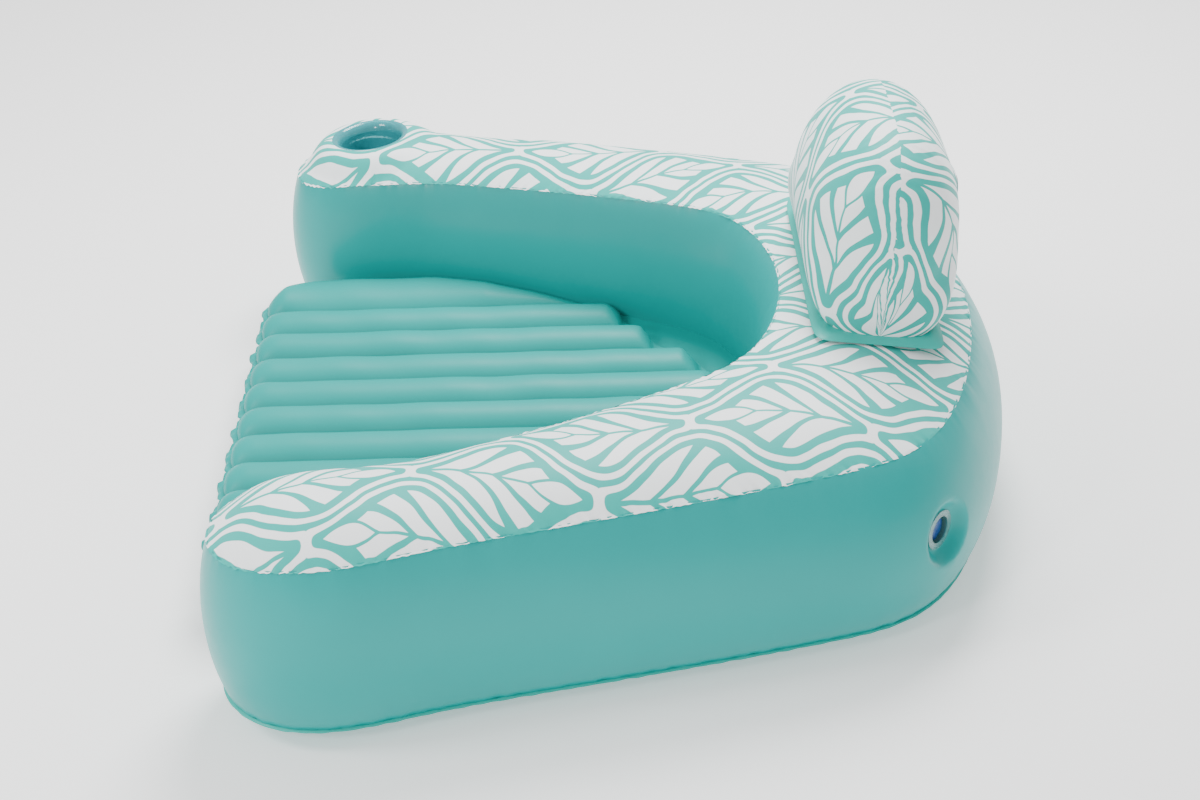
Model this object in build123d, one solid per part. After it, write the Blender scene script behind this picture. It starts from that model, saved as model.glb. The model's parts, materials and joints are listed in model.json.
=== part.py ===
from build123d import *
from math import cos, radians, sin
import os

# Inflatable lounge float: a U-shaped tube of four welded panels, a ribbed seat
# mat between the arms, an upright pillow, a cup holder and three air valves.
# Frame: X across, the open side of the U towards -Y, Z up, floor at Z = 0.

# ---- driving dimensions (mm) ----
LENGTH = 1100              # outer seam, front tip to back
WALL_HEIGHT = 250          # weld seam to weld seam
UNDER_CROWN = 35           # how far the underside swells below its seams
TOP_CROWN = 44             # how far the top swells above its seams at the tips
BACK_CROWN = 30            # and at the back
SHEET = 1.5                # sheet thickness as modelled
BACK_RISE = 42             # the inner top seam is higher at the back
REST_PATCH = 34            # half width of the flat strip that meets the floor
TIP_CENTRE = (583, 140)
TIP_RADIUS = 117
ARM_SPLAY = 17             # degrees
WALL_JOIN = 137            # degrees round the tip where the two wall sheets meet
LOW_FLANGE = 5             # width of the weld flange round the underside
Y_SHIFT = 561              # seam outline to the middle of the whole part

TOP_Z = UNDER_CROWN + WALL_HEIGHT
LOW_Z = UNDER_CROWN

# seat mat
MAT_Z = LOW_Z + 70
RIB_PITCH = 80
RIB_COUNT = 10
RIB_RISE = 30
MAT_FRONT = -22
MAT_REAR = 740
MAT_CORNER_X = 436         # half its width at the front edge
MAT_RIBS_X = 446           # and at the outer ribs' fullest
MAT_LIP = 9                # width of the weld flange along the front
WEB_FRONT = 500            # where the flat web behind the ribs starts
MAT_WALL_GAP = 1           # between the mat's ribs and the inner wall
WEB_LAP = 3                # how far the web reaches under the inner wall's face

# pillow
PILLOW_HALF = 222          # half its length along X
PILLOW_BASE_Z = LOW_Z + 305
PILLOW_HEIGHT = 262
PILLOW_Y = 942
PILLOW_DEPTH = 113         # each panel's swell from the seam
PILLOW_LEAN = 7            # degrees, towards the back
PILLOW_FOOT = 78           # half width where it meets the tube
PILLOW_FLANGE = 19         # width of the weld flange round the foot
PILLOW_CORNER = 45

# cup holder
CUP_PLACE = (-587, 152, TOP_Z + 41)
CUP_RADIUS = 52
CUP_DEPTH = 78
CUP_RIM = 65
CUP_TILT = 4.5             # degrees, forwards

# valves
VALVE_FLANGE = 29
VALVE_RECESS = 21
VALVE_RECESS_DEPTH = 15
STEM_RADIUS = 10
STEM_BORE = 6.5
STEM_LENGTH = 24
STEM_SUNK = 8              # how far the stem sits below the skin when pushed in
COLLAR_RADIUS = 16
CAP_RADIUS = 15.5
CAP_THICK = 2.5
PLUG_RADIUS = 6.2
PLUG_TIP = 4.8                # the plug tapers so that it swings clear of the bore
PLUG_LENGTH = 7
GAP = 0.3
PIVOT_OUT = 17.4
LUG_WIDTH = 7
MAIN_VALVE_PLACE = (452.5, 1002 - Y_SHIFT, LOW_Z + 125)
PILLOW_VALVE_PROUD = 3     # from the back panel's fullest point to its valve's flange
MAT_VALVE_PLACE = (383, 150 - Y_SHIFT, LOW_Z + 39.7)

os.makedirs("parts", exist_ok=True)


def place(point):
    """A seam outline point in the part's frame."""
    return Vector(point[0], point[1] - Y_SHIFT, 0)


def write(shape, name):
    export_step(shape, f"parts/{name}.step")


# ---- seam outlines of the right half, tip to back ----

def tip_point(angle):
    turn = radians(angle)
    x = TIP_CENTRE[0] + TIP_RADIUS * cos(turn)
    y = TIP_CENTRE[1] + TIP_RADIUS * sin(turn)
    return (x, y)


def along(curve, count):
    """Evenly spaced points on a curve."""
    return [curve @ (i / (count - 1)) for i in range(count)]


ARM_HEADING = (-sin(radians(ARM_SPLAY)), cos(radians(ARM_SPLAY)))
OUTER_POINTS = [tip_point(ARM_SPLAY), (614, 466), (524, 779), (486, 905), (409, 989), (265, 1052), (0, LENGTH)]
INNER_POINTS = [tip_point(180 + ARM_SPLAY), (466, 205), (395, 443), (306, 649), (250, 740), (141, 800), (0, 818)]
OUTER_SEAM = Spline(*[place(p) for p in OUTER_POINTS], tangents=[ARM_HEADING, (-1, 0)])
INNER_SEAM = Spline(*[place(p) for p in INNER_POINTS], tangents=[ARM_HEADING, (-1, 0)])
STATIONS = 13
ARM_STATIONS = 9           # of these, how many run along one arm's top panel
OUTER = along(OUTER_SEAM, STATIONS)
INNER = along(INNER_SEAM, STATIONS)


def share(i):
    """How far a station is towards the back, with a soft start."""
    return (i / (STATIONS - 1)) ** 1.5


def wall_swell(i):
    return 18 + 20 * share(i)


def inner_top(i):
    return TOP_Z + BACK_RISE * share(i)


def top_swell(i):
    return TOP_CROWN + (BACK_CROWN - TOP_CROWN) * share(i)


def foot_shift(i):
    """The outer wall's foot stands further out than its top at the back."""
    return 28 * share(i)


# ---- strips: a thin curved section between two seams ----

def strip(start, swell, end, start_in, end_in):
    """A section face: an arc through the swell point and its copy one sheet inside."""
    inward = (start_in - start + end_in - end).normalized()
    middle = (start + end) * 0.5 + swell
    middle_in = middle - swell.normalized() * SHEET
    skin = ThreePointArc(start, middle, end)
    back = ThreePointArc(end_in, middle_in, start_in)
    edges = [skin, Line(end, end_in), back, Line(start_in, start)]
    return Face(Wire(edges))


def corner_set(outer, inner, i):
    """The four seam corners of the tube at a station and the same one sheet inside."""
    up = Vector(0, 0, 1)
    across = (outer - inner).normalized()
    out_top = outer + up * TOP_Z
    out_low = outer + across * foot_shift(i) + up * LOW_Z
    in_top = inner + up * inner_top(i)
    in_low = inner + up * LOW_Z
    inset = across * SHEET
    drop = up * SHEET
    return {
        "out_top": (out_top, out_top - inset - drop),
        "out_low": (out_low, out_low - inset + drop),
        "in_top": (in_top, in_top + inset - drop),
        "in_low": (in_low, in_low + inset + drop),
    }


def station_faces(i):
    outer = OUTER[i]
    inner = INNER[i]
    up = Vector(0, 0, 1)
    across = (outer - inner).normalized()
    corner = corner_set(outer, inner, i)
    out_top, out_top_in = corner["out_top"]
    out_low, out_low_in = corner["out_low"]
    in_top, in_top_in = corner["in_top"]
    in_low, in_low_in = corner["in_low"]
    swell = wall_swell(i)
    return {
        "top_panel": strip(in_top, up * top_swell(i), out_top, in_top_in, out_top_in),
        "outer_wall": strip(out_top, across * swell, out_low, out_top_in, out_low_in),
        "inner_wall": strip(in_low, across * -swell, in_top, in_low_in, in_top_in),
    }


def underside_face(i):
    """The bottom panel's section: two swells and a flat strip that rests on the floor."""
    outer = OUTER[i]
    inner = INNER[i]
    up = Vector(0, 0, 1)
    across = (outer - inner).normalized()
    corner = corner_set(outer, inner, i)
    out_low, out_low_in = corner["out_low"]
    in_low, in_low_in = corner["in_low"]
    middle = (outer + inner) * 0.5
    a = middle - across * REST_PATCH
    b = middle + across * REST_PATCH
    lift = up * SHEET
    left = TangentArc(a, in_low, tangent=-across)
    right = TangentArc(b, out_low, tangent=across)
    left_in = TangentArc(a + lift, in_low_in, tangent=-across)
    right_in = TangentArc(b + lift, out_low_in, tangent=across)
    edges = [left, Line(a, b), right, Line(out_low, out_low_in)]
    edges += [right_in, Line(b + lift, a + lift), left_in, Line(in_low_in, in_low)]
    return Face(Wire(edges))


def mirrored_run(faces):
    """Sections from the right tip round the back to the left tip."""
    left = [mirror(face, about=Plane.YZ) for face in faces[:-1]]
    return faces + left[::-1]


TIP_AXIS = Axis((TIP_CENTRE[0], TIP_CENTRE[1] - Y_SHIFT, 0), (0, 0, 1))
TIP_AXIS_BACK = Axis(TIP_AXIS.position, (0, 0, -1))


def with_caps(run, cap):
    """A lofted run joined to the round cap at its right end and the same on the left."""
    return run + cap + mirror(cap, about=Plane.YZ)


def top_half_face():
    """Half of the tip section of the top panel, from the tip axis outwards."""
    outer = OUTER[0]
    across = (outer - INNER[0]).normalized()
    up = Vector(0, 0, 1)
    out_top, out_top_in = corner_set(outer, INNER[0], 0)["out_top"]
    apex = (outer + INNER[0]) * 0.5 + up * (TOP_Z + TOP_CROWN)
    apex_in = apex - up * SHEET
    skin = TangentArc(apex, out_top, tangent=across)
    back = TangentArc(apex_in, out_top_in, tangent=across)
    return Face(Wire([skin, Line(out_top, out_top_in), back, Line(apex_in, apex)]))


def under_half_face():
    """Half of the tip section of the bottom panel."""
    outer = OUTER[0]
    across = (outer - INNER[0]).normalized()
    lift = Vector(0, 0, SHEET)
    out_low, out_low_in = corner_set(outer, INNER[0], 0)["out_low"]
    centre = (outer + INNER[0]) * 0.5
    b = centre + across * REST_PATCH
    skin = TangentArc(b, out_low, tangent=across)
    back = TangentArc(b + lift, out_low_in, tangent=across)
    flat = Line(centre, b)
    edges = [flat, skin, Line(out_low, out_low_in), back, Line(b + lift, centre + lift)]
    edges.append(Line(centre + lift, centre))
    return Face(Wire(edges))


def flange_face(i, side, height, width):
    """A weld flange's section standing out from a seam, one millimetre thick."""
    outer = OUTER[i]
    inner = INNER[i]
    across = (outer - inner).normalized()
    corner = corner_set(outer, inner, i)[side][0]
    out = across * (width if side.startswith("out") else -width)
    corner += out.normalized() * GAP
    up = Vector(0, 0, height)
    edges = [Line(corner, corner + out), Line(corner + out, corner + out + up)]
    edges += [Line(corner + out + up, corner + up), Line(corner + up, corner)]
    return Face(Wire(edges))


def flange_loop(level, height, width):
    """One weld flange right round a panel: outer run, two tips and inner run."""
    stations = range(STATIONS)
    outer_run = loft(mirrored_run([flange_face(i, "out_" + level, height, width) for i in stations]))
    inner_run = loft(mirrored_run([flange_face(i, "in_" + level, height, width) for i in stations]))
    cap = revolve(flange_face(0, "out_" + level, height, width), TIP_AXIS_BACK, 180)
    return Compound([outer_run.solid(), cap.solid(), mirror(cap, about=Plane.YZ).solid(), inner_run.solid()])


# ---- the tube's four panels ----

SECTIONS = [station_faces(i) for i in range(STATIONS)]
top_run = mirrored_run([s["top_panel"] for s in SECTIONS])
top_right_arm = loft(top_run[:ARM_STATIONS]) + revolve(top_half_face(), TIP_AXIS_BACK, 180)
top_left_arm = mirror(top_right_arm, about=Plane.YZ)
top_back = loft(top_run[ARM_STATIONS - 1:1 - ARM_STATIONS])
outer_wall = loft(mirrored_run([s["outer_wall"] for s in SECTIONS]))
outer_wall = with_caps(outer_wall, revolve(SECTIONS[0]["outer_wall"], TIP_AXIS_BACK, WALL_JOIN))
inner_wall = loft(mirrored_run([s["inner_wall"] for s in SECTIONS]))
inner_wall = with_caps(inner_wall, revolve(SECTIONS[0]["inner_wall"], TIP_AXIS, 180 - WALL_JOIN))
bottom_panel = loft(mirrored_run([underside_face(i) for i in range(STATIONS)]))
bottom_panel = with_caps(bottom_panel, revolve(under_half_face(), TIP_AXIS_BACK, 180))
bottom_weld_flange = flange_loop("low", -1, LOW_FLANGE)


# ---- seat mat ----

def wall_line(clear):
    """Plan points of the inner wall's face at its fullest, from the tip to the back."""
    found = []
    for i in range(STATIONS):
        across = (OUTER[i] - INNER[i]).normalized()
        found.append(INNER[i] - across * (wall_swell(i) + clear))
    return found


def plan_prism(points, low, high):
    """A symmetric outline given by its right half, front to back, as a prism."""
    left = [Vector(-p.X, p.Y, 0) for p in points[::-1] if p.X > 1]
    outline = Polyline(*[Vector(p.X, p.Y, low) for p in points + left], close=True)
    return extrude(make_face(outline), high - low)


MAT_SIDE = [p for p in wall_line(MAT_WALL_GAP) if p.Y < WEB_FRONT - Y_SHIFT]
MAT_REAR_EDGE = [place(p) for p in ((294, 579), (203, 634), (125, 705), (60, 732), (0, MAT_REAR))]
MAT_CORNER = [place(p) for p in ((0, MAT_FRONT), (MAT_CORNER_X, MAT_FRONT))]
MAT_OUTLINE = MAT_CORNER + MAT_SIDE + MAT_REAR_EDGE
RIB_EDGES = [RIB_PITCH * i for i in range(RIB_COUNT // 2)] + [MAT_RIBS_X]
RIB_EDGES = [-x for x in RIB_EDGES[:0:-1]] + RIB_EDGES


def rib_sheet(direction):
    """One sheet of the mat: an arc over each rib, pinched at the weld lines."""
    edges = []
    for x, x_next in zip(RIB_EDGES, RIB_EDGES[1:]):
        for lift in (0, SHEET):
            points = []
            for px, pz in ((x, 0), ((x + x_next) / 2, RIB_RISE - SHEET), (x_next, 0)):
                points.append((px, MAT_FRONT - Y_SHIFT, MAT_Z + direction * (pz + lift)))
            edges.append(ThreePointArc(*points))
    for x in (RIB_EDGES[0], RIB_EDGES[-1]):
        low = (x, MAT_FRONT - Y_SHIFT, MAT_Z)
        edges.append(Line(low, (x, MAT_FRONT - Y_SHIFT, MAT_Z + direction * SHEET)))
    section = make_face(edges)
    sheet = extrude(section, MAT_REAR - MAT_FRONT, dir=(0, 1, 0))
    return sheet & plan_prism(MAT_OUTLINE, MAT_Z - 60, MAT_Z + 60)


mat_top_sheet = rib_sheet(1)
mat_bottom_sheet = rib_sheet(-1)
web_outline = [place((0, WEB_FRONT))] + [p for p in wall_line(-WEB_LAP) if p.Y > WEB_FRONT - Y_SHIFT]
mat_rear_web = plan_prism(web_outline, MAT_Z - SHEET / 2, MAT_Z + SHEET / 2)
mat_rear_web -= plan_prism(MAT_OUTLINE, MAT_Z - SHEET, MAT_Z + SHEET)
front_lip = Box(2 * MAT_CORNER_X, MAT_LIP, SHEET)
mat_front_flange = Pos(0, MAT_FRONT - Y_SHIFT - MAT_LIP / 2, MAT_Z) * front_lip


# ---- pillow, built upright about its foot and then leaned back ----

PILLOW_PLACE = Location((0, PILLOW_Y - Y_SHIFT, PILLOW_BASE_Z), (-PILLOW_LEAN, 0, 0))
PILLOW_STATIONS = (-0.995, -0.93, -0.8, -0.6, -0.3, 0, 0.3, 0.6, 0.8, 0.93, 0.995)


def pillow_section(part_of_half, side):
    """A panel's section: over from the top seam, out to its swell and back to the foot."""
    size = (1 - abs(part_of_half) ** 4) ** 0.25
    x = part_of_half * PILLOW_HALF
    top = PILLOW_HEIGHT * (0.3 + 0.7 * size)
    foot = PILLOW_FOOT * (0.45 + 0.55 * size)
    depth = PILLOW_DEPTH * size
    skin = Spline((x, 0, top), (x, side * depth, top * 0.5), (x, side * foot, 0))
    depth_in = max(depth - SHEET, 0.1)
    back = Spline((x, 0, top - SHEET), (x, side * depth_in, top * 0.5), (x, side * (foot - SHEET), 0))
    edges = [skin, Line(skin @ 1, back @ 1), back, Line(back @ 0, skin @ 0)]
    return Face(Wire(edges))


def pillow_panel(side):
    return PILLOW_PLACE * loft([pillow_section(t, side) for t in PILLOW_STATIONS])


def rounded_sheet(width, depth, radius, thickness):
    return extrude(RectangleRounded(width, depth, radius), thickness)


pillow_front_panel = pillow_panel(-1)
pillow_back_panel = pillow_panel(1)
flange_size = (2 * (PILLOW_HALF + PILLOW_FLANGE), 2 * (PILLOW_FOOT + PILLOW_FLANGE))
pillow_base_flange = PILLOW_PLACE * Pos(0, 0, -SHEET) * rounded_sheet(*flange_size, PILLOW_CORNER, SHEET)


# ---- cup holder ----

CUP_LOCATION = Pos(0, -Y_SHIFT, 0) * Location(CUP_PLACE, (CUP_TILT, 0, 0))
cup_hole = CUP_LOCATION * Pos(0, 0, -20) * Cylinder(CUP_RADIUS + SHEET, 90)
top_left_arm -= cup_hole
top_left_arm -= CUP_LOCATION * Pos(0, 0, 20) * Cylinder(CUP_RIM + GAP, 40)
cup_rim = CUP_LOCATION * Pos(0, 0, 1) * (Cylinder(CUP_RIM, 2) - Cylinder(CUP_RADIUS + SHEET, 2))
cup_tube = Cylinder(CUP_RADIUS + SHEET, CUP_DEPTH) - Cylinder(CUP_RADIUS, CUP_DEPTH)
cup_wall = CUP_LOCATION * Pos(0, 0, 2 - CUP_DEPTH / 2) * cup_tube
cup_disc = Cylinder(CUP_RADIUS + SHEET, SHEET)
cup_floor = CUP_LOCATION * Pos(0, 0, 2 - CUP_DEPTH - SHEET / 2) * cup_disc


# ---- valves: local Z points out of the skin ----

def ring(radius, bore, low, high):
    body = Cylinder(radius, high - low) - Cylinder(bore, high - low)
    return Pos(0, 0, (low + high) / 2) * body


def disc(radius, low, high):
    return Pos(0, 0, (low + high) / 2) * Cylinder(radius, high - low)


def valve_seat():
    """Weld flange, recess cup and the guide hole that the stem slides in."""
    seat = ring(VALVE_FLANGE, VALVE_RECESS - 1.3, 0, SHEET)
    seat += ring(VALVE_RECESS, VALVE_RECESS - 1.3, -VALVE_RECESS_DEPTH, 0)
    seat += ring(VALVE_RECESS, STEM_RADIUS + GAP, -VALVE_RECESS_DEPTH - SHEET, -VALVE_RECESS_DEPTH)
    return seat


def valve_stem():
    """The tube that takes a pump nozzle, its collar and the cap's hinge lug."""
    stem = ring(STEM_RADIUS, STEM_BORE, -STEM_LENGTH, 0)
    stem += ring(COLLAR_RADIUS, STEM_BORE, -SHEET, 0)
    stem += Pos(PIVOT_OUT - 0.8, 0, -SHEET / 2) * Box(5, LUG_WIDTH, SHEET)
    return stem


def valve_cap():
    cap = disc(CAP_RADIUS, GAP, GAP + CAP_THICK)
    cap += Pos(0, 0, GAP - PLUG_LENGTH / 2) * Cone(PLUG_TIP, PLUG_RADIUS, PLUG_LENGTH)
    cap += Pos(PIVOT_OUT - 1.8, 0, GAP + CAP_THICK / 2) * Box(3, 6, CAP_THICK)
    return cap


def valve_flap():
    return disc(STEM_BORE + 1.5, -STEM_LENGTH - 0.8, -STEM_LENGTH)


def write_valve(name, location):
    """The four pieces of one valve, with the stem and cap pushed into the recess."""
    write(location * valve_seat(), f"{name}_valve_seat")
    pushed_in = location * Pos(0, 0, -STEM_SUNK)
    write(pushed_in * valve_stem(), f"{name}_valve_stem")
    write(pushed_in * valve_cap(), f"{name}_valve_cap")
    write(pushed_in * valve_flap(), f"{name}_valve_flap")


lean = radians(PILLOW_LEAN)
pillow_out = Vector(0, cos(lean), -sin(lean))
pillow_up = Vector(0, sin(lean), cos(lean))
pillow_foot = Vector(0, PILLOW_Y - Y_SHIFT, PILLOW_BASE_Z)
pillow_valve_place = pillow_foot + pillow_out * (PILLOW_DEPTH + PILLOW_VALVE_PROUD)
pillow_valve_place += pillow_up * (PILLOW_HEIGHT / 2)
VALVE_WAYS = {
    "main": Plane(MAIN_VALVE_PLACE, x_dir=(0, 0, -1), z_dir=(cos(radians(50)), sin(radians(50)), 0)),
    "pillow": Plane(pillow_valve_place, x_dir=-pillow_up, z_dir=pillow_out),
    "mat": Plane(MAT_VALVE_PLACE, x_dir=(1, 0, 0), z_dir=(0, 0, -1)),
}
valve_hole = Pos(0, 0, -20) * Cylinder(VALVE_RECESS, 60)
outer_wall -= VALVE_WAYS["main"].location * valve_hole
pillow_back_panel -= VALVE_WAYS["pillow"].location * valve_hole
mat_bottom_sheet -= VALVE_WAYS["mat"].location * valve_hole
for valve_name, way in VALVE_WAYS.items():
    write_valve(valve_name, way.location)

write(top_right_arm, "top_panel_right_arm")
write(top_left_arm, "top_panel_left_arm")
write(top_back, "top_panel_back")
write(outer_wall, "outer_wall")
write(inner_wall, "inner_wall")
write(bottom_panel, "bottom_panel")
write(bottom_weld_flange, "bottom_weld_flange")
write(mat_top_sheet, "mat_top_sheet")
write(mat_bottom_sheet, "mat_bottom_sheet")
write(mat_rear_web, "mat_rear_web")
write(mat_front_flange, "mat_front_flange")
write(pillow_front_panel, "pillow_front_panel")
write(pillow_back_panel, "pillow_back_panel")
write(pillow_base_flange, "pillow_base_flange")
write(cup_rim, "cup_rim")
write(cup_wall, "cup_wall")
write(cup_floor, "cup_floor")
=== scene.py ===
"""Looks of the inflatable lounge float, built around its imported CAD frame.

Metres. X across, the open side of the U towards -Y, Z up, floor at Z = 0.
"""
import json
import math

import bmesh
import bpy
import numpy as np
from mathutils import Matrix, Vector


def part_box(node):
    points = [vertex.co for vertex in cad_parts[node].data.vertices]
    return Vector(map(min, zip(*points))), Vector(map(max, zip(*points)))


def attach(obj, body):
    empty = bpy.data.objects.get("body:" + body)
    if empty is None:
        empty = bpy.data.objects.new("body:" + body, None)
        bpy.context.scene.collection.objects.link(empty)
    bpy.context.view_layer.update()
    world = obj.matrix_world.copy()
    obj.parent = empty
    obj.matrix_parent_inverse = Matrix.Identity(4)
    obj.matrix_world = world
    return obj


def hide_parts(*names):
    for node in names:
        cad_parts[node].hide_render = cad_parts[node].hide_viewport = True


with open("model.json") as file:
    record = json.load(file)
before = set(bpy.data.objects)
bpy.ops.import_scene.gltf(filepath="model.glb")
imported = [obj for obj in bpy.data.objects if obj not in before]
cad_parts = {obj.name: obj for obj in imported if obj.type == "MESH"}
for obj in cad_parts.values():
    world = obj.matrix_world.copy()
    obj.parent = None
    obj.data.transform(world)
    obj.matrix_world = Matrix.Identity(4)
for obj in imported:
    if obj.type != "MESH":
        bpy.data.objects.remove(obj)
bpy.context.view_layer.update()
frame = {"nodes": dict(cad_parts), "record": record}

# ---- sizes, from the frame where it has them ----
SEAM_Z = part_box("outer_wall")[1].z          # top weld seam
LOW_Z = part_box("outer_wall")[0].z           # bottom weld seam
BACK_SEAM_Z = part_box("inner_wall")[1].z     # inner seam at the back
FLOAT_LENGTH = 1.100                        # outer seam, tips' datum line to back
Y_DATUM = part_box("top_panel_back")[1].y - FLOAT_LENGTH
MAT_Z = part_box("mat_rear_web")[0].z + 0.00075
RIB_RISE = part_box("mat_top_sheet")[1].z - MAT_Z
RIB_PITCH = 0.080
TIP_CROWN = 0.044
BACK_CROWN = 0.030
TIP_WIDTH = 0.228
TIP_DIP = 0.016                             # the top seam drops round each tip
FOOT_SPREAD = 0.030                         # the outer foot stands out at the back
UNDER_SWELL = LOW_Z

# the right half of the top seam as seen from above: outer back, tip, inner back
SEAM_HALF = [
    (0.000, 1.100), (0.189, 1.077), (0.350, 1.025), (0.452, 0.950), (0.499, 0.851), (0.554, 0.674),
    (0.611, 0.466), (0.662, 0.289), (0.694, 0.165), (0.684, 0.102), (0.643, 0.050), (0.583, 0.026),
    (0.524, 0.037), (0.482, 0.082), (0.467, 0.150), (0.459, 0.255), (0.427, 0.365), (0.366, 0.520),
    (0.306, 0.649), (0.243, 0.742), (0.141, 0.797), (0.000, 0.818),
]
TIP_FRONT = 11                              # the point of that list at the very front


# ---- curves ----

def closed_spline(points, count):
    """A smooth closed line through the points, as count evenly spaced points."""
    p = np.array(points, float)
    n = len(p)
    chord = np.linalg.norm(np.roll(p, -1, 0) - p, axis=1)
    before = np.roll(chord, 1)
    system = np.zeros((n, n))
    right = np.zeros_like(p)
    for i in range(n):
        system[i, (i - 1) % n] = chord[i]
        system[i, i] = 2 * (chord[i] + before[i])
        system[i, (i + 1) % n] = before[i]
        ahead = (p[(i + 1) % n] - p[i]) / chord[i]
        behind = (p[i] - p[i - 1]) / before[i]
        right[i] = 3 * (before[i] * ahead + chord[i] * behind)
    slope = np.linalg.solve(system, right)
    fine = []
    t = np.linspace(0, 1, 60, endpoint=False)[:, None]
    for i in range(n):
        a, b = p[i], p[(i + 1) % n]
        sa, sb = slope[i] * chord[i], slope[(i + 1) % n] * chord[i]
        fine.append((2 * t**3 - 3 * t**2 + 1) * a + (t**3 - 2 * t**2 + t) * sa
                    + (3 * t**2 - 2 * t**3) * b + (t**3 - t**2) * sb)
    return resample(np.vstack(fine + [p[:1]]), count + 1)[:-1]


def resample(line, count):
    """count evenly spaced points along a polyline."""
    length = np.r_[0, np.cumsum(np.linalg.norm(np.diff(line, axis=0), axis=1))]
    at = np.linspace(0, length[-1], count)
    return np.stack([np.interp(at, length, line[:, k]) for k in range(line.shape[1])], 1)


def smooth_step(x):
    x = np.clip(x, 0, 1)
    return x * x * (3 - 2 * x)


def ripple(s, seed, pitch):
    """An uneven wave of the given pitch along s, between about -1 and 1, always the same."""
    rng = np.random.default_rng(seed)
    total = np.zeros_like(s)
    for factor in (0.61, 0.83, 1.0, 1.27):
        total += np.sin(2 * np.pi * s * factor / pitch + rng.uniform(0, 6.3))
    return total / 2.6


LOOP = 2800
half = [(x, y + Y_DATUM) for x, y in SEAM_HALF]
SEAM = closed_spline(half + [(-x, y) for x, y in half[-2:0:-1]], LOOP)
heading = np.roll(SEAM, -1, 0) - np.roll(SEAM, 1, 0)
heading /= np.linalg.norm(heading, axis=1)[:, None]
# the loop runs clockwise seen from above, so outwards is to its left
OUTWARD = np.stack([-heading[:, 1], heading[:, 0]], 1)
RUN = np.r_[0, np.cumsum(np.linalg.norm(np.diff(SEAM, axis=0), axis=1))]
TIP = int(np.argmin(np.linalg.norm(SEAM - np.array(half[TIP_FRONT]), axis=1)))
BACK_IN = int(np.argmin(np.linalg.norm(SEAM - np.array(half[-1]), axis=1)))
is_inner = np.zeros(LOOP, bool)
is_inner[TIP:2 * BACK_IN - TIP] = True
to_back = np.clip((SEAM[:, 1] - Y_DATUM) / 0.9, 0, 1)
seam_dip = TIP_DIP * (1 - smooth_step((SEAM[:, 1] - Y_DATUM) / 0.15))
inner_rise = (BACK_SEAM_Z - SEAM_Z) * np.clip((SEAM[:, 1] - Y_DATUM) / 0.818, 0, 1) ** 1.5
TOP_LINE = np.c_[SEAM, SEAM_Z - seam_dip + np.where(is_inner, inner_rise, 0)]
spread = np.where(is_inner, 0, FOOT_SPREAD * to_back**1.5)
LOW_LINE = np.c_[SEAM + OUTWARD * spread[:, None], np.full(LOOP, LOW_Z)]
SWELL = 0.020 + 0.020 * to_back**1.5


# ---- mesh helpers ----

def make_piece(name, verts, faces, material, uv=None):
    mesh = bpy.data.meshes.new(name)
    mesh.from_pydata([tuple(v) for v in verts], [], faces)
    mesh.update()
    for poly in mesh.polygons:
        poly.use_smooth = True
    if uv is not None:
        layer = mesh.uv_layers.new(name="print")
        index = np.empty(len(mesh.loops), int)
        mesh.loops.foreach_get("vertex_index", index)
        layer.data.foreach_set("uv", np.asarray(uv, np.float32)[index].ravel())
    piece = bpy.data.objects.new(name, mesh)
    bpy.context.scene.collection.objects.link(piece)
    mesh.materials.append(material)
    return piece


def grid_faces(rows, columns, wrap=False, flip=False):
    faces = []
    for i in range(rows if wrap else rows - 1):
        a = i * columns
        b = ((i + 1) % rows) * columns
        for j in range(columns - 1):
            quad = (a + j, b + j, b + j + 1, a + j + 1)
            faces.append(quad[::-1] if flip else quad)
    return faces


def grid_piece(name, points, material, uv=None, wrap=False, flip=False):
    rows, columns = points.shape[:2]
    flat_uv = None if uv is None else uv.reshape(-1, 2)
    return make_piece(name, points.reshape(-1, 3), grid_faces(rows, columns, wrap, flip), material, flat_uv)


def local_frame(origin, out, side):
    """A matrix whose Z points out of the skin and whose X is side."""
    z = Vector(out).normalized()
    x = (Vector(side) - z * z.dot(Vector(side))).normalized()
    y = z.cross(x)
    matrix = Matrix((x, y, z)).transposed().to_4x4()
    matrix.translation = Vector(origin)
    return matrix


def seat_and_cut(piece, place, flat, fade, hole, level):
    """Settles a skin onto a fitting's plane and cuts the round hole beneath it."""
    inverse = place.inverted()
    work = bmesh.new()
    work.from_mesh(piece.data)
    near = []
    for edge in work.edges:
        middle = inverse @ ((edge.verts[0].co + edge.verts[1].co) / 2)
        if math.hypot(middle.x, middle.y) < fade and abs(middle.z) < fade:
            near.append(edge)
    bmesh.ops.subdivide_edges(work, edges=near, cuts=3, use_grid_fill=True)
    gone = []
    for vert in work.verts:
        local = inverse @ vert.co
        radius = math.hypot(local.x, local.y)
        if radius > fade or abs(local.z) > fade:
            continue
        share = 1 - float(smooth_step((radius - flat) / (fade - flat)))
        local.z += (level - local.z) * share
        vert.co = place @ local
        if radius < hole:
            gone.append(vert)
    bmesh.ops.delete(work, geom=gone, context="VERTS")
    for vert in work.verts:
        local = inverse @ vert.co
        radius = math.hypot(local.x, local.y)
        if vert.is_boundary and radius < flat and abs(local.z) < fade:
            local.x *= hole / radius
            local.y *= hole / radius
            vert.co = place @ local
    work.to_mesh(piece.data)
    work.free()


def turned(name, profile, place, material, steps=96):
    """A piece turned about the place's Z axis from (radius, height) points."""
    rows = []
    for i in range(steps):
        turn = 2 * math.pi * i / steps
        row = []
        for radius, height in profile:
            row.append(place @ Vector((radius * math.cos(turn), radius * math.sin(turn), height)))
        rows.append(row)
    return grid_piece(name, np.array(rows), material, wrap=True)


# ---- shader helpers: arithmetic written as arithmetic ----

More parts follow.
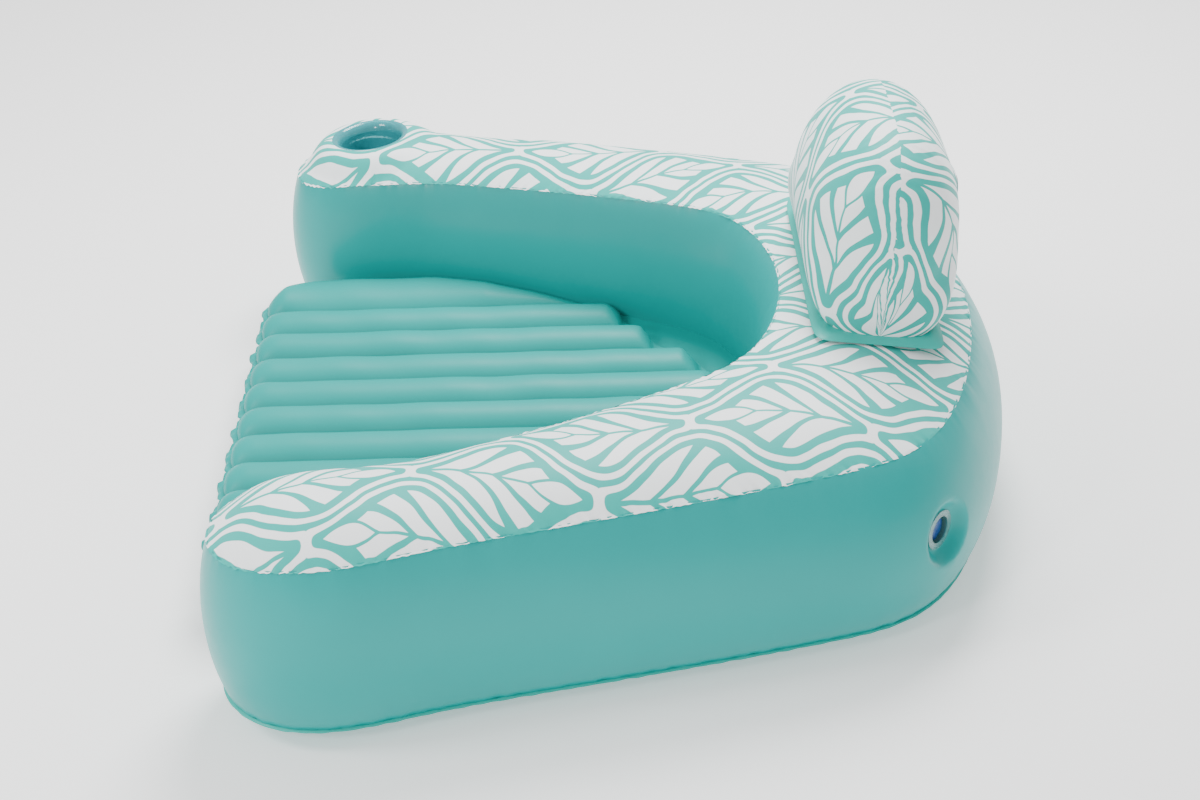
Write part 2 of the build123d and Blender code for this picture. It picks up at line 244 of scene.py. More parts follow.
class Term:
    """A value in a node tree that Python's operators work on."""

    def __init__(self, tree, socket):
        self.tree = tree
        self.socket = socket

    def op(self, kind, other=None, third=None):
        node = self.tree.nodes.new("ShaderNodeMath")
        node.operation = kind
        for slot, value in enumerate((self, other, third)):
            if isinstance(value, Term):
                self.tree.links.new(value.socket, node.inputs[slot])
            elif value is not None:
                node.inputs[slot].default_value = value
        return Term(self.tree, node.outputs[0])

    def __add__(self, other):
        return self.op("ADD", other)

    def __sub__(self, other):
        return self.op("SUBTRACT", other)

    def __mul__(self, other):
        return self.op("MULTIPLY", other)

    def __truediv__(self, other):
        return self.op("DIVIDE", other)

    def __neg__(self):
        return self.op("MULTIPLY", -1.0)

    def abs(self):
        return self.op("ABSOLUTE")

    def sqrt(self):
        return self.op("SQRT")

    def cos(self):
        return self.op("COSINE")

    def round(self):
        return self.op("ROUND")

    def low(self, other):
        return self.op("MINIMUM", other)

    def high(self, other):
        return self.op("MAXIMUM", other)

    def above(self, edge, soft):
        """0 below the edge, 1 above it, over a band of the given width."""
        node = self.tree.nodes.new("ShaderNodeMapRange")
        self.tree.links.new(self.socket, node.inputs["Value"])
        if isinstance(edge, Term):
            return (self - edge).above(0.0, soft)
        node.inputs["From Min"].default_value = edge - soft / 2
        node.inputs["From Max"].default_value = edge + soft / 2
        return Term(self.tree, node.outputs[0])


def between(share, low, high):
    """low where share is 0 and high where it is 1."""
    return low + (high - low) * share


def new_material(name):
    material = bpy.data.materials.new(name)
    material.use_nodes = True
    tree = material.node_tree
    shader = tree.nodes["Principled BSDF"]
    return material, tree, shader


def linear(red, green, blue):
    """An sRGB colour out of 255 as the linear colour that sockets take."""
    out = []
    for value in (red, green, blue):
        v = value / 255
        out.append(v / 12.92 if v <= 0.04045 else ((v + 0.055) / 1.055) ** 2.4)
    return (*out, 1.0)


def noise(tree, scale, detail=2.0, coordinates=None, stretch=None):
    node = tree.nodes.new("ShaderNodeTexNoise")
    node.inputs["Scale"].default_value = scale
    node.inputs["Detail"].default_value = detail
    if coordinates is None:
        coordinates = tree.nodes.new("ShaderNodeTexCoord").outputs["Object"]
    if stretch is not None:
        mapping = tree.nodes.new("ShaderNodeMapping")
        mapping.inputs["Scale"].default_value = stretch
        tree.links.new(coordinates, mapping.inputs["Vector"])
        coordinates = mapping.outputs[0]
    tree.links.new(coordinates, node.inputs["Vector"])
    return Term(tree, node.outputs[0])


def colour_mix(tree, share, first, second):
    node = tree.nodes.new("ShaderNodeMix")
    node.data_type = "RGBA"
    tree.links.new(share.socket, node.inputs[0])
    for slot, value in ((6, first), (7, second)):
        if hasattr(value, "is_linked"):
            tree.links.new(value, node.inputs[slot])
        else:
            node.inputs[slot].default_value = value
    return node.outputs[2]


def bump(tree, shader, height, strength, distance):
    node = tree.nodes.new("ShaderNodeBump")
    node.inputs["Strength"].default_value = strength
    node.inputs["Distance"].default_value = distance
    tree.links.new(height.socket, node.inputs["Height"])
    tree.links.new(node.outputs[0], shader.inputs["Normal"])


# ---- materials ----

LEAF_LONG = 0.247          # one leaf and its node, along the float
LEAF_ROW = 0.116           # from one row of leaves to the next, across
LEAF_TIP = 0.018           # half a leaf's width at its ends
LEAF_BELLY = 0.070         # what its middle adds to that
OUTLINE = 0.0092           # white outline
BORDER = 0.0115            # teal band inside it
FIRST_NODE = (0.550, 0.290)
SWAY = 0.026               # the rows weave from side to side
VEIN_STEP = 0.37           # from vein to vein, in half leaf lengths
VEIN_SWEEP = 0.56          # how far a vein runs towards the leaf's tip
INK = 0.0007               # softness of a printed edge


def leaf_print(tree, teal, white):
    """White leaves on teal: rows of pointed leaves, each row half a leaf on and facing the other way."""
    coords = tree.nodes.new("ShaderNodeUVMap")
    coords.uv_map = "print"
    split = tree.nodes.new("ShaderNodeSeparateXYZ")
    tree.links.new(coords.outputs[0], split.inputs[0])
    hand_u = noise(tree, 13.0, 1.0, coords.outputs[0]) - 0.5
    hand_v = noise(tree, 17.0, 1.0, coords.outputs[0], (1.0, 1.3, 1.0)) - 0.5
    u = Term(tree, split.outputs[0]) + hand_v * 0.010
    v = Term(tree, split.outputs[1]) + hand_u * 0.010
    sway = ((v - FIRST_NODE[1]) * (math.pi / LEAF_LONG)).cos() * SWAY
    across = u + sway - FIRST_NODE[0]

    def nearest_leaf(row_shift, along_shift):
        c = (across - row_shift) / (2 * LEAF_ROW)
        c = (c - c.round()) * (2 * LEAF_ROW)
        a = (v - (FIRST_NODE[1] + LEAF_LONG / 2 + along_shift)) / LEAF_LONG
        a = (a - a.round()) * 2.0
        swell = (a * math.pi).cos() * 0.5 + 0.5
        width = swell * LEAF_BELLY + LEAF_TIP
        slant = swell * (swell * -1.0 + 1.0) * -1.0 + 1.0
        side = (width - c.abs()) * slant
        end = (a.abs() * -1.0 + 1.0) * (LEAF_LONG / 2) + 0.0026
        return c, a, side.op("SMOOTH_MIN", end, 0.014), width

    c1, a1, d1, w1 = nearest_leaf(0.0, 0.0)
    c2, a2, d2, w2 = nearest_leaf(LEAF_ROW, LEAF_LONG / 2)
    second = (d2 - d1).above(0.0, 0.0001)
    c = between(second, c1, c2)
    a = between(second, a1, a2 * -1.0)
    inside = between(second, d1, d2)
    width = between(second, w1, w2)
    outline = inside.above(0.0, INK) * (inside.above(OUTLINE, INK) * -1.0 + 1.0)

    # veins leave the midrib and sweep towards the leaf's tip; the first blade reaches its root
    inner_half = (width - (OUTLINE + BORDER)).high(0.010)
    s = (c.abs() / inner_half).low(1.25)
    bend = s * 1.35 - s * s * 0.35
    sweep = ((a + 0.84 - bend * VEIN_SWEEP) / VEIN_STEP).high(0.5)
    vein = (sweep - sweep.round()).abs()
    blade = (vein - s * s * 0.09).above(0.130, 0.02)
    rib = c.abs().above(a * -0.0012 + 0.0021, INK)
    wider = a.above(0.30, 0.60) * 0.009
    inner = (inside - wider).above(OUTLINE + BORDER, INK)
    tip = (a - 0.56) / 0.27
    almond_edge = (tip * tip * -1.0 + 1.0) * 0.0135 - c.abs()
    almond = almond_edge.above(0.0, INK) * inside.above(OUTLINE + 0.0075, INK)
    clear = almond_edge.above(-0.0048, INK)
    blades = blade * rib * inner * (a.above(0.55, 0.02) * -1.0 + 1.0)
    leaves = (blades * (clear * -1.0 + 1.0)).high(almond)
    pattern = outline.high(leaves)
    return colour_mix(tree, pattern, teal, white)


def fabric_material():
    """Printed polyester laminated to the vinyl."""
    material, tree, shader = new_material("printed_fabric")
    blotch = noise(tree, 7.0, 3.0)
    teal = colour_mix(tree, blotch, linear(2, 166, 156), linear(6, 174, 164))
    white = colour_mix(tree, blotch, linear(240, 246, 248), linear(248, 251, 252))
    colour = leaf_print(tree, teal, white)
    tree.links.new(colour, shader.inputs["Base Color"])
    fine = noise(tree, 900.0, 1.0)
    crease = noise(tree, 26.0, 4.0)
    roughness = fine * 0.10 + 0.50
    tree.links.new(roughness.socket, shader.inputs["Roughness"])
    shader.inputs["Specular IOR Level"].default_value = 0.30
    shader.inputs["Sheen Weight"].default_value = 0.15
    shader.inputs["Sheen Roughness"].default_value = 0.5
    bump(tree, shader, fine * 0.18 + crease, 0.35, 0.0012)
    return material


def vinyl_material(name, low, high, roughness, coat, grain=0.12):
    """Soft vinyl sheet: faint blotches, calender grain and slow waviness."""
    material, tree, shader = new_material(name)
    blotch = noise(tree, 5.0, 2.0)
    tree.links.new(colour_mix(tree, blotch, low, high), shader.inputs["Base Color"])
    haze = noise(tree, 60.0, 3.0)
    tree.links.new((haze * 0.10 + roughness).socket, shader.inputs["Roughness"])
    shader.inputs["Specular IOR Level"].default_value = 0.20
    shader.inputs["Coat Weight"].default_value = coat
    shader.inputs["Coat Roughness"].default_value = 0.22
    waves = noise(tree, 9.0, 2.0)
    fine = noise(tree, 700.0, 1.0)
    bump(tree, shader, fine * grain + waves * 2.5, 0.25, 0.002)
    return material


def clear_material(name, colour, roughness, through):
    """Translucent soft moulding."""
    material, tree, shader = new_material(name)
    blotch = noise(tree, 120.0, 2.0)
    deeper = tuple(channel * 0.72 for channel in colour[:3]) + (1.0,)
    tree.links.new(colour_mix(tree, blotch, deeper, colour), shader.inputs["Base Color"])
    tree.links.new((noise(tree, 220.0, 2.0) * 0.12 + roughness).socket, shader.inputs["Roughness"])
    shader.inputs["Transmission Weight"].default_value = through
    shader.inputs["IOR"].default_value = 1.5
    bump(tree, shader, noise(tree, 160.0, 3.0), 0.15, 0.0006)
    return material


FABRIC = fabric_material()
WALL = vinyl_material("wall_vinyl", linear(0, 152, 148), linear(0, 160, 156), 0.32, 0.16)
MAT = vinyl_material("mat_vinyl", linear(0, 146, 140), linear(0, 154, 148), 0.42, 0.02)
WELD = vinyl_material("weld_vinyl", linear(22, 170, 158), linear(34, 180, 168), 0.34, 0.1, 0.5)
CUP = clear_material("cup_vinyl", linear(60, 170, 178), 0.08, 0.25)
VALVE_CLEAR = clear_material("valve_clear", linear(150, 222, 222), 0.10, 0.75)
VALVE_BLUE = clear_material("valve_blue", linear(30, 95, 185), 0.12, 0.45)


# ---- the tube ----

def branch(start, stop, count):
    """Top seam points, weld run and outward directions between two places on the loop."""
    index = np.linspace(start, stop, count)
    whole = np.arange(LOOP + 1)
    closed = np.vstack([TOP_LINE, TOP_LINE[:1]])
    line = np.stack([np.interp(index % LOOP, whole, closed[:, k]) for k in range(3)], 1)
    closed_out = np.vstack([OUTWARD, OUTWARD[:1]])
    out = np.stack([np.interp(index % LOOP, whole, closed_out[:, k]) for k in range(2)], 1)
    return line, out, index * RUN[-1] / LOOP


def top_panel():
    """The printed panel: crowned across, domed at the tips, with a puckered lapped edge."""
    per_half = 560
    across = 46
    rows = []
    for side in (1, -1):
        if side > 0:
            outer, out_o, run_o = branch(TIP, 0, per_half)
            inner, out_i, run_i = branch(TIP, BACK_IN, per_half)
        else:
            outer, out_o, run_o = branch(LOOP, 2 * BACK_IN - TIP, per_half)
            inner, out_i, run_i = branch(BACK_IN, 2 * BACK_IN - TIP, per_half)
        rows.append((outer, inner, out_o, out_i, run_o, run_i))
    outer = np.vstack([rows[0][0], rows[1][0][1:]])
    inner = np.vstack([rows[0][1], rows[1][1][1:]])
    out_o = np.vstack([rows[0][2], rows[1][2][1:]])
    out_i = np.vstack([rows[0][3], rows[1][3][1:]])
    run_o = np.r_[rows[0][4], rows[1][4][1:]]
    run_i = np.r_[rows[0][5], rows[1][5][1:]]
    width = np.linalg.norm(outer[:, :2] - inner[:, :2], axis=1)
    back = np.clip(((outer[:, 1] + inner[:, 1]) / 2 - Y_DATUM) / 0.95, 0, 1)
    crown = (TIP_CROWN + (BACK_CROWN - TIP_CROWN) * back**1.5) * np.clip(width / TIP_WIDTH, 0, 1) ** 2
    t = np.sin(np.linspace(-math.pi / 2, math.pi / 2, across))
    share = (t + 1) / 2
    points = inner[:, None, :] * (1 - share)[None, :, None] + outer[:, None, :] * share[None, :, None]
    points[:, :, 2] += crown[:, None] * (1 - np.abs(t)[None, :] ** 2.3)
    # puckers run in from both seams and die out
    reach = np.clip(width, 0.02, None)[:, None]
    from_outer = (1 - share)[None, :] * reach
    from_inner = share[None, :] * reach
    pucker = ripple(run_o, 3, 0.017)[:, None] * np.exp(-from_outer / 0.007) * 0.0011
    pucker = pucker + ripple(run_i, 4, 0.015)[:, None] * np.exp(-from_inner / 0.007) * 0.0011
    pucker = pucker + ripple(run_o, 5, 0.055)[:, None] * np.exp(-from_outer / 0.022) * 0.0009
    pucker = pucker + ripple(run_i, 6, 0.048)[:, None] * np.exp(-from_inner / 0.022) * 0.0009
    points[:, :, 2] += pucker
    # the lapped edge: a narrow wavy hem over the wall
    at_tip = 1 - smooth_step((outer[:, 1] - Y_DATUM - 0.05) / 0.25)
    hem_o = 0.0018 + (0.0005 + 0.0009 * at_tip) * ripple(run_o, 7, 0.0125)
    hem_i = 0.0020 + (0.0006 + 0.0009 * at_tip) * ripple(run_i, 8, 0.0115)
    edge_o = outer + np.c_[out_o * (0.0022 + 0.25 * hem_o)[:, None], -hem_o]
    edge_i = inner + np.c_[out_i * (0.0022 + 0.25 * hem_i)[:, None], -hem_i]
    points = np.concatenate([edge_i[:, None], points, edge_o[:, None]], 1)
    uv = points[:, :, :2].copy()
    uv[:, :, 1] -= Y_DATUM
    return grid_piece("top_panel_print", points, FABRIC, uv, flip=True)


def wall_piece(name, start, stop, rows_up=44):
    """A side sheet between the two seams, swelling outwards."""
    index = np.arange(start, stop + 1, 2) % LOOP
    v = (1 - np.cos(np.linspace(0, math.pi, rows_up))) / 2
    top, low = TOP_LINE[index], LOW_LINE[index]
    points = top[:, None, :] * (1 - v)[None, :, None] + low[:, None, :] * v[None, :, None]
    bulge = SWELL[index][:, None] * (4 * v * (1 - v))[None, :] ** 0.85
    height = SEAM_Z - LOW_Z
    down, up = v * height, (1 - v) * height
    bulge = bulge + ripple(RUN[index], 11, 0.021)[:, None] * np.exp(-down / 0.008)[None, :] * 0.0007
    bulge = bulge + ripple(RUN[index], 12, 0.070)[:, None] * np.exp(-down / 0.030)[None, :] * 0.0008
    bulge = bulge + ripple(RUN[index], 13, 0.030)[:, None] * np.exp(-up / 0.010)[None, :] * 0.0009
    points[:, :, :2] += OUTWARD[index][:, None, :] * bulge[:, :, None]
    return grid_piece(name, points, WALL)


def lip(name, line, out, width, droop, seed, material):
    """A welded lip: two thin skins standing out from a seam, a little wavy."""
    wave = ripple(RUN, seed, 0.030) * 0.0006
    base = line.copy()
    tip_line = line + np.c_[out * width, -droop + wave]
    thick = np.array([0, 0, 0.0005])
    rows = np.stack([base - thick, tip_line - thick, tip_line + thick, base + thick], 1)
    return grid_piece(name, rows, material, wrap=True)


def underside():
    """The bottom panel: flat where it stands, swelling down from its seams."""
    count = 300
    outer_r, out_r, _ = branch(TIP, 0, count)
    inner_r, _, _ = branch(TIP, BACK_IN, count)
    spread_r = FOOT_SPREAD * np.clip((outer_r[:, 1] - Y_DATUM) / 0.9, 0, 1) ** 1.5
    outer_r[:, :2] += out_r * spread_r[:, None]
    outer = np.vstack([outer_r, outer_r[-2::-1] * [-1, 1, 1]])
    inner = np.vstack([inner_r, inner_r[-2::-1] * [-1, 1, 1]])
    width = np.linalg.norm(outer[:, :2] - inner[:, :2], axis=1)
    t = np.sin(np.linspace(-math.pi / 2, math.pi / 2, 28))
    share = (t + 1) / 2
    points = inner[:, None, :] * (1 - share)[None, :, None] + outer[:, None, :] * share[None, :, None]
    fullness = np.clip(width / TIP_WIDTH, 0, 1)[:, None] ** 1.2
    drop = UNDER_SWELL * 1.12 * fullness * (1 - np.abs(t)[None, :] ** 2.2)
    points[:, :, 2] = LOW_Z - np.minimum(drop, UNDER_SWELL - 0.0002)
    return grid_piece("bottom_panel_sheet", points, WALL)


# ---- seat mat ----

MAT_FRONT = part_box("mat_top_sheet")[0].y
MAT_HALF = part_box("mat_front_flange")[1].x
MAT_REAR_OUTLINE = [
    (0.294, 0.579), (0.203, 0.634), (0.161, 0.674), (0.125, 0.705), (0.080, 0.728), (0.0, 0.742),
]


def inner_wall_x(y, z):
    """How far out the right inner wall's face is at a given place and height."""
    index = np.arange(TIP, BACK_IN + 1)
    v = (SEAM_Z - z) / (SEAM_Z - LOW_Z)
    bulge = SWELL[index] * (4 * v * (1 - v)) ** 0.85
    face = SEAM[index] + OUTWARD[index] * bulge[:, None]
    order = face[:, 1] > face[0, 1]
    line = face[order]
    rank = np.argsort(line[:, 1])
    return np.minimum(np.interp(y, line[rank, 1], line[rank, 0]), MAT_HALF)


def mat_half_width(y):
    """Half the ribbed part's width at y: the wall, then the rear outline."""
    wall = inner_wall_x(y, MAT_Z + 0.012)
    ends = np.array(MAT_REAR_OUTLINE)
    rear = np.interp(y - Y_DATUM, ends[:, 1], ends[:, 0], left=1.0, right=0.0)
    return np.minimum(wall, rear)


def mat_sheet(name, direction):
    """One ribbed sheet of the mat, its rib ends rounded and its edges pinched flat."""
    rows = 220
    length = 0.742 + Y_DATUM - MAT_FRONT
    along = MAT_FRONT + length * np.linspace(0, 1, rows)
    half_width = mat_half_width(along)
    rng = np.random.default_rng(21)
    rear_outline = np.array(MAT_REAR_OUTLINE)[::-1]
    t = np.sin(np.linspace(-math.pi / 2, math.pi / 2, 25))
    from_front = np.clip((along - MAT_FRONT) / 0.042, 0, 1)
    front = np.sqrt(1 - (1 - from_front) ** 2.2)
    strips = []
    for k in range(-5, 5):
        side = 1 if k >= 0 else -1
        number = k if k >= 0 else -k - 1
        low = np.minimum(RIB_PITCH * number, half_width)
        high = np.minimum(RIB_PITCH * (number + 1), half_width)
        if number == 4:
            # the outer rib's front corner is drawn in towards the next rib
            corner = 1 - np.clip((along - MAT_FRONT) / 0.10, 0, 1)
            high = half_width - 0.062 * corner**2.2
        reach = (high - low) / 2
        x = side * ((low + high) / 2)[:, None] + reach[:, None] * t[None, :]
        stop = np.interp(RIB_PITCH * (number + 0.62), rear_outline[:, 0], rear_outline[:, 1]) + Y_DATUM
        from_rear = np.clip((stop - along) / 0.036, 0, 1)
        rear = np.sqrt(1 - (1 - from_rear) ** 2.0) if number < 4 else np.ones(rows)
        full = np.clip(reach / (RIB_PITCH / 2), 0, 1.1) ** 0.8
        height = RIB_RISE * (1.02 + 0.12 * rng.random()) * front * rear * full
        height = height * (1 + 0.030 * ripple(along, 60 + k, 0.14))
        z = height[:, None] * np.sqrt(1 - t**2)[None, :]
        strips.append(np.stack([x, np.repeat(along[:, None], 25, 1), z], 2)[:, (0 if k == -5 else 1):])
    points = np.concatenate(strips, 1)
    # the front edge is drawn in at the weld lines, between the ribs' ends
    hollow = 1 - np.abs(np.sin(np.pi * points[:, :, 0] / RIB_PITCH)) ** 0.7
    points[:, :, 1] += 0.012 * hollow * (1 - from_front[:, None]) ** 2
    points[:, :, 2] = MAT_Z + direction * (points[:, :, 2] + 0.0004)
    return grid_piece(name, points, MAT, flip=direction > 0)


def mat_front_lip():
    """The pinched weld along the front, standing out in a small tab at each rib."""
    count = 700
    x_end = MAT_HALF - 0.060
    x = np.linspace(-x_end, x_end, count)
    hollow = np.abs(np.sin(np.pi * x / RIB_PITCH)) ** 0.7
    base_y = MAT_FRONT + 0.012 * (1 - hollow)
    wave = ripple(x, 31, 0.022) * 0.0026
    width = 0.0105 + 0.0026 * ripple(x, 32, 0.05)
    rows = []
    for part in (0.0, 0.5, 1.0):
        z = MAT_Z + wave * part - 0.006 * part**2 * hollow
        rows.append(np.stack([x, base_y - width * part, z], 1))
    top = np.stack(rows, 1)
    ring = np.concatenate([top + [0, 0, 0.0006], top[:, ::-1] - [0, 0, 0.0006]], 1)
    ring = np.concatenate([ring, ring[:, :1]], 1)
    return grid_piece("mat_front_weld", ring, MAT, flip=True)


def rear_web():
    """The flat sheet behind the ribs, meeting the inner wall at the back."""
    rows = 60
    y_low = 0.50 + Y_DATUM
    index = np.arange(TIP, BACK_IN + 1)
    v = (SEAM_Z - MAT_Z) / (SEAM_Z - LOW_Z)
    face = SEAM[index] + OUTWARD[index] * (SWELL[index] * (4 * v * (1 - v)) ** 0.85)[:, None]
    face = face[face[:, 1] > y_low]
    right = resample(face, rows)
    share = np.linspace(-1, 1, 121)
    points = np.zeros((rows, 121, 3))
    # it laps in behind the wall's face and sags a little between the walls
    points[:, :, 0] = right[:, :1] * share[None, :] * 1.03
    points[:, :, 1] = right[:, 1:2] + 0.008
    sag = 0.007 * (1 - share**4)
    points[:, :, 2] = MAT_Z - 0.0012 - sag[None, :]
    return grid_piece("mat_rear_sheet", points, MAT, flip=True)


# ---- pillow ----

PILLOW_LOW, PILLOW_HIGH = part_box("pillow_base_flange")
FRONT_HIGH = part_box("pillow_front_panel")[1]
PILLOW_LEAN = math.radians(7)
PILLOW_HALF = FRONT_HIGH.x + 0.003
PILLOW_Y = (PILLOW_LOW.y + PILLOW_HIGH.y) / 2
PILLOW_Z = (PILLOW_LOW.z + PILLOW_HIGH.z) / 2 + 0.0008
PILLOW_RISE = (FRONT_HIGH.z - PILLOW_Z) / math.cos(PILLOW_LEAN) + 0.002
PILLOW_DEPTH = 0.115
PILLOW_PLACE = Matrix.Translation((0, PILLOW_Y, PILLOW_Z)) @ Matrix.Rotation(-PILLOW_LEAN, 4, "X")
# where the print lies on each panel: the leaf row by the right end, and the height of a node
PRINT_AT = {-1: (FIRST_NODE[0] - LEAF_ROW, 0.015), 1: (FIRST_NODE[0], 0.140)}
WAIST = 0.42               # the fullest height, as a share of the whole


def pillow_panel(name, side):
    """Half the pillow, from its foot up over its fullest part to the seam on top."""
    columns = 300
    rows = 64
    u = np.sin(np.linspace(-math.pi / 2, math.pi / 2, columns))
    w = 1 - (1 - np.linspace(0, 1, rows)) ** 1.6
    top = PILLOW_RISE * (1 - np.abs(u) ** 3.6) ** (1 / 3.0)
    round_off = 12 - 8.6 * smooth_step(w / 0.5)
    body = (1 - np.abs(u)[:, None] ** round_off[None, :]) ** (0.36 + 0.12 * smooth_step(w / 0.5))[None, :]
    profile = np.sqrt(np.clip(1 - ((w - WAIST) / (1 - WAIST)) ** 2, 0, 1))
    depth = PILLOW_DEPTH * body * profile[None, :]
    x = PILLOW_HALF * u[:, None] + 0 * w[None, :]
    z = top[:, None] * w[None, :]
    # puckers along the seam
    seam_line = np.stack([PILLOW_HALF * u, top], 1)
    run = np.r_[0, np.cumsum(np.linalg.norm(np.diff(seam_line, axis=0), axis=1))]
    from_seam = (1 - w)[None, :] * top[:, None]
    fine = ripple(run, 41 + side, 0.016)[:, None] * np.exp(-from_seam / 0.010) * 0.0016
    slow = ripple(run, 44 + side, 0.050)[:, None] * np.exp(-from_seam / 0.030) * 0.0020
    settle = (1 - np.exp(-from_seam / 0.006)) * smooth_step((w - 0.25) / 0.2)[None, :]
    depth = np.clip(depth + (fine + slow) * settle, 0.0, None)
    depth[0] = depth[-1] = 0
    # both panels share one seam line, which itself zigzags a little
    zigzag = ripple(run, 47, 0.011)[:, None] * np.exp(-from_seam / 0.005) * 0.0011
    local = np.stack([x, side * depth + zigzag, z], 2).reshape(-1, 3)
    turn = np.array(PILLOW_PLACE.to_3x3())
    points = (local @ turn.T + np.array(PILLOW_PLACE.translation)).reshape(columns, rows, 3)
    # the print lies on the sheet, so it is measured along the skin
    step = np.linalg.norm(np.diff(points, axis=1), axis=2)
    climb = np.concatenate([np.zeros((columns, 1)), np.cumsum(step, 1)], 1)
    stride = np.linalg.norm(np.diff(points, axis=0), axis=2)
    length = np.concatenate([np.zeros((1, rows)), np.cumsum(stride, 0)], 0)
    length = length - length[-1] / 2
    row_at, climb_at = PRINT_AT[side]
    from_row = length - (length[-1, rows // 2] - 0.060)
    uv = np.stack([from_row + row_at, climb + climb_at], 2)
    return grid_piece(name, points, FABRIC, uv, flip=side < 0)


def pillow_flange():
    """The teal sheet under the pillow, a rounded oblong that lies on the tube."""
    reach_x = PILLOW_HIGH.x
    reach_y = (PILLOW_HIGH.y - PILLOW_LOW.y) / 2
    count = 160
    rows = []
    for i in range(count):
        turn = 2 * math.pi * i / count
        dx, dy = math.cos(turn), math.sin(turn)
        px = math.copysign(abs(dx) ** 0.16, dx)
        py = math.copysign(abs(dy) ** 0.16, dy)
        rows.append((px, py))
    outline = np.array(rows)
    rings = []
    for part in (1.0, 0.97, 0.9, 0.8, 0.5, 0.02):
        x = outline[:, 0] * (reach_x - 0.10 * (1 - part))
        y = outline[:, 1] * (reach_y - 0.08 * (1 - part))
        if part < 0.1:
            x, y = x * 0.02, y * 0.02
        z = np.full(count, 0.0012 - 0.006 * max(0.0, (part - 0.86) / 0.14) ** 1.3)
        rings.append(np.stack([x, y, z], 1))
    local = np.stack(rings, 1).reshape(-1, 3)
    turn = np.array(PILLOW_PLACE.to_3x3())
    points = (local @ turn.T + np.array(PILLOW_PLACE.translation)).reshape(count, len(rings), 3)
    return grid_piece("pillow_base_sheet", points, WELD, wrap=True)


# ---- build ----

BODY = "float"


def dress(piece, slot, *nodes):
    """A finished piece takes the place of CAD nodes on the float's own body."""
    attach(piece, BODY)
    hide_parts(*nodes)
    return piece


JOIN = TIP + int(0.10 / (RUN[-1] / LOOP))
panel = top_panel()
outer = wall_piece("outer_wall_sheet", 2 * BACK_IN - JOIN, LOOP + JOIN)
inner = wall_piece("inner_wall_sheet", JOIN, 2 * BACK_IN - JOIN)
base = underside()
dress(panel, "printed_fabric", "top_panel_right_arm", "top_panel_left_arm", "top_panel_back")
dress(outer, "wall_vinyl", "outer_wall")
dress(inner, "wall_vinyl", "inner_wall")
dress(base, "wall_vinyl", "bottom_panel")
dress(lip("bottom_weld_lip", LOW_LINE, OUTWARD, 0.0048, 0.0012, 51, WELD), "weld_vinyl", "bottom_weld_flange")
mat_high = dress(mat_sheet("mat_top_ribs", 1), "mat_vinyl", "mat_top_sheet")
mat_low = dress(mat_sheet("mat_bottom_ribs", -1), "mat_vinyl", "mat_bottom_sheet")
dress(mat_front_lip(), "mat_vinyl", "mat_front_flange")
dress(rear_web(), "mat_vinyl", "mat_rear_web")
pillow_front = dress(pillow_panel("pillow_front_print", -1), "printed_fabric", "pillow_front_panel")
pillow_back = dress(pillow_panel("pillow_back_print", 1), "printed_fabric", "pillow_back_panel")
dress(pillow_flange(), "weld_vinyl", "pillow_base_flange")

# ---- cup holder ----
mounts = {m["name"]: m for m in frame["record"]["mounts"]}
cup = mounts["cup_holder"]
CUP_AXIS = Vector(cup["axis"])
CUP_MOUTH_RISE = 0.037                      # from the mount's place to the mouth
CUP_MOUTH = Vector(cup["pos_m"]) + CUP_AXIS * CUP_MOUTH_RISE
CUP_BORE = cup["dims"]["r_mm"] / 1000
cup_place = local_frame(CUP_MOUTH, CUP_AXIS, (1, 0, 0))
CUP_OPEN = 0.0645
seat_and_cut(panel, cup_place, CUP_OPEN + 0.004, 0.120, CUP_OPEN, 0.0012)
rim_profile = [
    (CUP_OPEN + 0.0035, 0.0006), (CUP_OPEN, 0.0018), (0.0605, 0.0006),
    (0.0565, -0.0024), (0.0535, -0.0075), (CUP_BORE, -0.014),
]
wall_profile = [
    (CUP_BORE, -0.0138), (CUP_BORE - 0.0006, -0.040), (CUP_BORE - 0.001, -0.070), (0.046, -0.0765),
]
floor_profile = [(0.0462, -0.0763), (0.040, -0.0775), (0.020, -0.0768), (0.0003, -0.0762)]
dress(turned("cup_mouth", rim_profile, cup_place, CUP), "cup_vinyl", "cup_rim")
dress(turned("cup_side", wall_profile, cup_place, CUP), "cup_vinyl", "cup_wall")
dress(turned("cup_base", floor_profile, cup_place, CUP), "cup_vinyl", "cup_floor")

# ---- valves ----
VALVE_FLANGE = 0.0290
VALVE_FADE = 0.052                          # the skin is settled out to here
VALVE_OPENING = 0.0235
VALVE_SKIN_DROP = -0.0006
VALVE_MATERIALS = {"seat": VALVE_CLEAR, "stem": VALVE_BLUE, "cap": VALVE_BLUE, "flap": VALVE_CLEAR}
valve_skins = {"main": outer, "pillow": pillow_back, "mat": mat_low}
for valve, skin in valve_skins.items():
    mount = mounts[valve + "_valve_nozzle"]
    place = local_frame(mount["pos_m"], mount["axis"], (1, 0.3, 0.2))
    seat_and_cut(skin, place, VALVE_FLANGE, VALVE_FADE, VALVE_OPENING, VALVE_SKIN_DROP)
    for part, material in VALVE_MATERIALS.items():
        node = frame["nodes"][f"{valve}_valve_{part}"]
        for material_slot in node.material_slots:
            material_slot.material = material

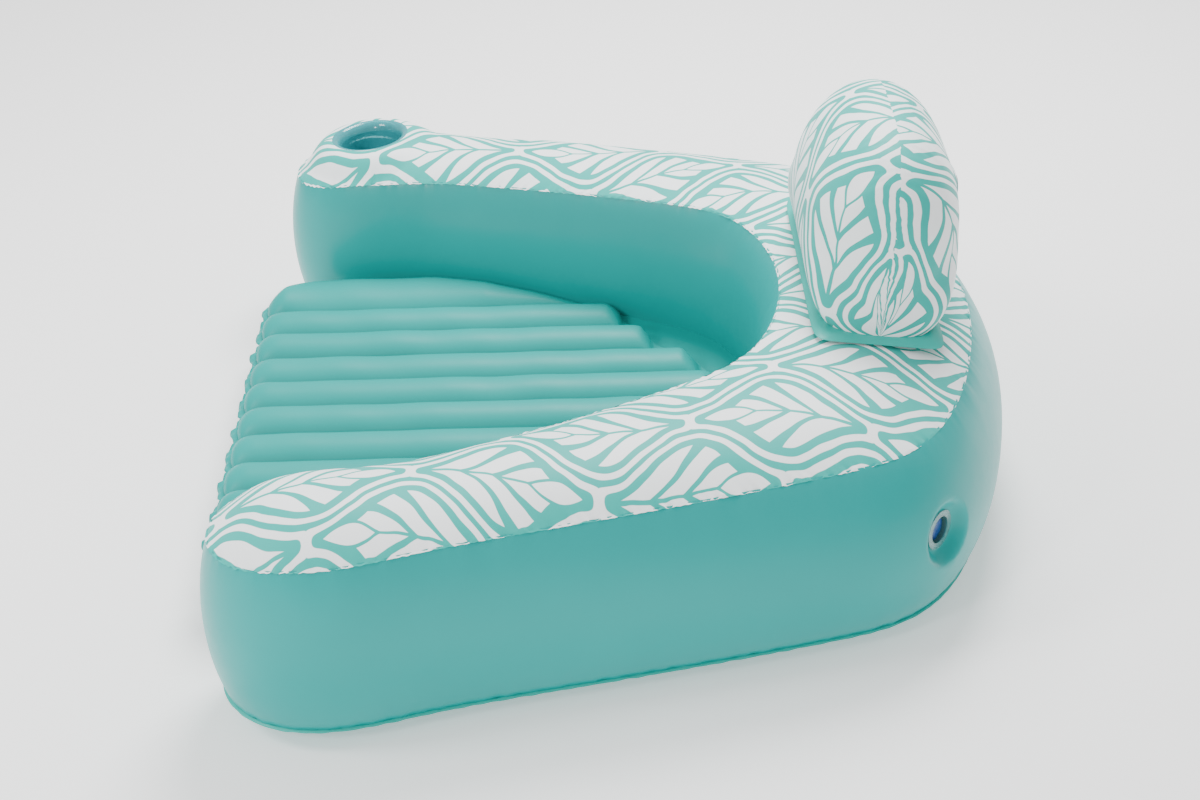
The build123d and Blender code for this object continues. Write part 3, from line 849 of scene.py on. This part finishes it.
# ---- floor, light and camera ----

def floor():
    material, _, shader = new_material("studio_floor")
    shader.inputs["Base Color"].default_value = (0.85, 0.85, 0.85, 1)
    shader.inputs["Roughness"].default_value = 0.9
    shader.inputs["Emission Color"].default_value = (1, 1, 1, 1)
    shader.inputs["Emission Strength"].default_value = 0.45
    size = 14.0
    corners = [(-size, -size, 0), (size, -size, 0), (size, size, 0), (-size, size, 0)]
    plane = make_piece("studio_floor", corners, [(0, 1, 2, 3)], material)
    plane.location.z = -0.0005


def area_light(name, place, target, size, power):
    data = bpy.data.lights.new(name, "AREA")
    data.shape = "DISK"
    data.size = size
    data.energy = power
    light = bpy.data.objects.new(name, data)
    bpy.context.scene.collection.objects.link(light)
    light.location = place
    light.rotation_euler = (Vector(target) - Vector(place)).to_track_quat("-Z", "Y").to_euler()


def camera():
    data = bpy.data.cameras.new("camera")
    data.sensor_width = 36.0
    data.lens = 66.0
    data.clip_end = 60
    view = bpy.data.objects.new("camera", data)
    bpy.context.scene.collection.objects.link(view)
    pitch = math.radians(30)
    roll = math.radians(1.6)
    back = Vector((math.cos(pitch), 0, math.sin(pitch)))
    right = Vector((0, 1, 0))
    up = back.cross(right)
    turned_right = right * math.cos(roll) - up * math.sin(roll)
    turned_up = up * math.cos(roll) + right * math.sin(roll)
    matrix = Matrix((turned_right, turned_up, back)).transposed().to_4x4()
    matrix.translation = Vector((2.977, 0.541 + Y_DATUM, 1.803 + LOW_Z))
    view.matrix_world = matrix
    bpy.context.scene.camera = view


floor()
world = bpy.data.worlds.new("studio")
bpy.context.scene.world = world
world.use_nodes = True
world.node_tree.nodes["Background"].inputs[0].default_value = (1, 1, 1, 1)
world.node_tree.nodes["Background"].inputs[1].default_value = 0.80
area_light("key", (1.0, -2.6, 2.6), (-0.3, 0, 0.2), 1.1, 60)
area_light("top", (-1.5, 0.4, 3.0), (0, 0, 0.2), 1.8, 190)
area_light("gleam", (2.4, -1.5, 1.7), (-0.6, -0.1, 0.2), 0.45, 24)
camera()
